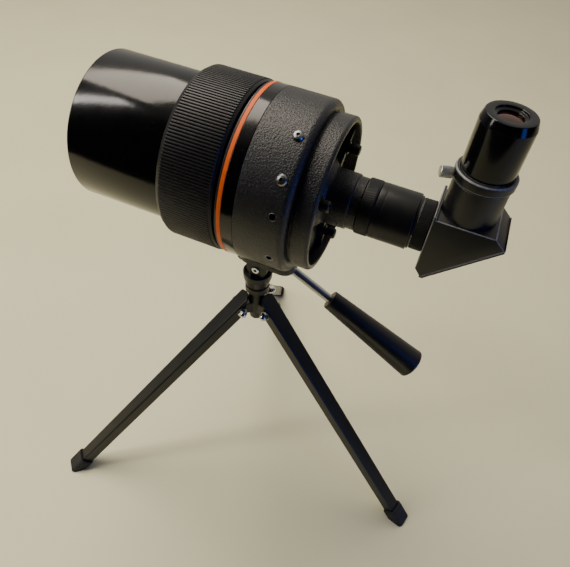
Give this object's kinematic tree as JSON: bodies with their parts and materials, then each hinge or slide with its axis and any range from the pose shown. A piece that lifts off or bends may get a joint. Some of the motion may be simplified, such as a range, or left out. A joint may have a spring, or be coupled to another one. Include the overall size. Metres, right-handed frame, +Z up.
{
  "type": "maksutov telescope on tabletop tripod",
  "caption": "Short closed-tube mirror telescope with a ribbed focus ring, upright star diagonal and eyepiece, on a folding three-leg tabletop stand with a pan handle.",
  "frame": {"origin": "on the table plane under the pan axis", "axes": "+Z up along the pan axis, +X horizontally towards the eyepiece end, +Y to the far side of the eyepiece end seen with the front to the left"},
  "size_m": [0.3258, 0.323, 0.3894],
  "materials": {
    "tube_paint": "gloss black paint on drawn aluminium",
    "cast_crinkle": "charcoal crinkle paint on a die casting",
    "ring_black": "satin black anodised, ribbed",
    "inner_black": "flat black inner faces",
    "trim_grey": "dark grey anodised",
    "stripe_orange": "orange lacquer",
    "band_gloss": "polished black lacquer",
    "screw_steel": "bright machine screws",
    "black_plastic": "black moulded plastic",
    "box_metal": "black paint worn bright at the edges",
    "barrel_chrome": "bright chrome plate",
    "optical_glass": "coated optical glass",
    "mirror_coat": "aluminised optical face",
    "eyepiece_black": "gloss black",
    "leg_steel": "black paint on folded steel",
    "hub_black": "black paint on a die casting",
    "rubber_black": "matt black rubber",
    "spring_foam": "black felt block"
  },
  "bodies": {
    "hub": {"tripod_hub": "hub_black", "leg_bolts": "screw_steel", "leg_nuts": "barrel_chrome", "leg_washers": "screw_steel"},
    "leg_a": {"leg_1": "leg_steel", "leg_flanges_1": "leg_steel", "leg_foot_1": "rubber_black"},
    "leg_b": {"leg_2": "leg_steel", "leg_flanges_2": "leg_steel", "leg_foot_2": "rubber_black"},
    "leg_c": {"leg_3": "leg_steel", "leg_flanges_3": "leg_steel", "leg_foot_3": "rubber_black"},
    "pan_head": {"pan_cup": "hub_black", "tilt_bolt": "barrel_chrome", "tilt_nut": "screw_steel", "pan_screw": "screw_steel"},
    "scope": {"tilt_block": "hub_black", "grip_sheet": "rubber_black", "camera_screw": "screw_steel", "rear_cell": "cast_crinkle", "back_plate": "cast_crinkle", "rear_rim": "cast_crinkle", "neck_boss": "cast_crinkle", "back_webs": "cast_crinkle", "trim_ring": "trim_grey", "stripe_ring": "stripe_orange", "gloss_band": "band_gloss", "helicoid_sleeve": "inner_black", "button_screws": "screw_steel", "back_knobs": "black_plastic", "mirror_support": "inner_black", "primary_mirror": "mirror_coat", "primary_baffle": "inner_black", "visual_back": "ring_black"},
    "pan_handle": {"handle_rod": "barrel_chrome", "handle_grip": "black_plastic"},
    "front_barrel": {"front_tube": "tube_paint", "corrector_cell": "inner_black", "corrector_lens": "optical_glass", "corrector_retainer": "inner_black", "secondary_spot": "mirror_coat", "secondary_baffle": "inner_black"},
    "focus_grip": {"focus_ring": "ring_black"},
    "back_ring": {"back_lock_ring": "ring_black"},
    "diagonal": {"diag_nosepiece": "barrel_chrome", "diag_collar": "ring_black", "diag_housing": "box_metal", "diag_cover": "box_metal", "diag_cover_screws": "screw_steel", "diag_side_screws": "screw_steel", "diag_prism": "optical_glass", "prism_spring": "spring_foam", "eyepiece_holder": "box_metal"},
    "locking_screw": {"thumb_screw": "barrel_chrome"},
    "eyepiece": {"eyepiece_body": "eyepiece_black", "eyepiece_barrel": "barrel_chrome", "eye_lens": "optical_glass", "field_lens": "optical_glass", "field_stop": "inner_black"}
  },
  "joints": [
    {"name": "leg_a_fold", "type": "hinge", "parent": "hub", "child": "leg_a", "pos_m": [-0.01171, -0.01134, 0.17435], "axis": [0.6959, -0.7181, 0], "range_deg": [0, 42]},
    {"name": "leg_b_fold", "type": "hinge", "parent": "hub", "child": "leg_b", "pos_m": [0.01568, -0.00447, 0.17435], "axis": [0.274, 0.9617, 0], "range_deg": [0, 42]},
    {"name": "leg_c_fold", "type": "hinge", "parent": "hub", "child": "leg_c", "pos_m": [-0.00397, 0.01581, 0.17435], "axis": [-0.9699, -0.2436, 0], "range_deg": [0, 42]},
    {"name": "pan_turn", "type": "hinge", "parent": "hub", "child": "pan_head", "pos_m": [0, 0, 0.197], "axis": [0, 0, 1], "continuous": true},
    {"name": "head_tilt", "type": "hinge", "parent": "pan_head", "child": "scope", "pos_m": [0.002, 0, 0.221], "axis": [0, 1, 0], "range_deg": [-45, 20]},
    {"name": "handle_twist", "type": "hinge", "parent": "scope", "child": "pan_handle", "pos_m": [0.021, 0, 0.2297], "axis": [0.8732, 0, -0.4874], "range_deg": [0, 360]},
    {"name": "focus_turn", "type": "hinge", "parent": "scope", "child": "focus_grip", "pos_m": [-0.02853, 0, 0.30832], "axis": [0.9991, 0, -0.0419], "range_deg": [-36, 324]},
    {"name": "barrel_slide", "type": "slide", "parent": "scope", "child": "front_barrel", "axis": [-0.9991, 0, 0.0419], "range_m": [-0.001, 0.009]},
    {"name": "back_ring_turn", "type": "hinge", "parent": "scope", "child": "back_ring", "pos_m": [0.07838, 0, 0.30384], "axis": [0.9991, 0, -0.0419], "range_deg": [0, 360]},
    {"name": "diagonal_turn", "type": "hinge", "parent": "scope", "child": "diagonal", "pos_m": [0.11035, 0, 0.3025], "axis": [0.9991, 0, -0.0419], "range_deg": [-90, 90]},
    {"name": "locking_screw_turn", "type": "hinge", "parent": "diagonal", "child": "locking_screw", "pos_m": [0.12118, -0.0068, 0.34889], "axis": [-0.9502, -0.309, 0.0398], "range_deg": [0, 720]},
    {"name": "eyepiece_slide", "type": "slide", "parent": "diagonal", "child": "eyepiece", "axis": [0.0419, 0, 0.9991], "range_m": [0, 0.025]}
  ],
  "couplings": [
    {"joint": "barrel_slide", "follows": "focus_turn", "m_per_rad": 0.00159}
  ]
}
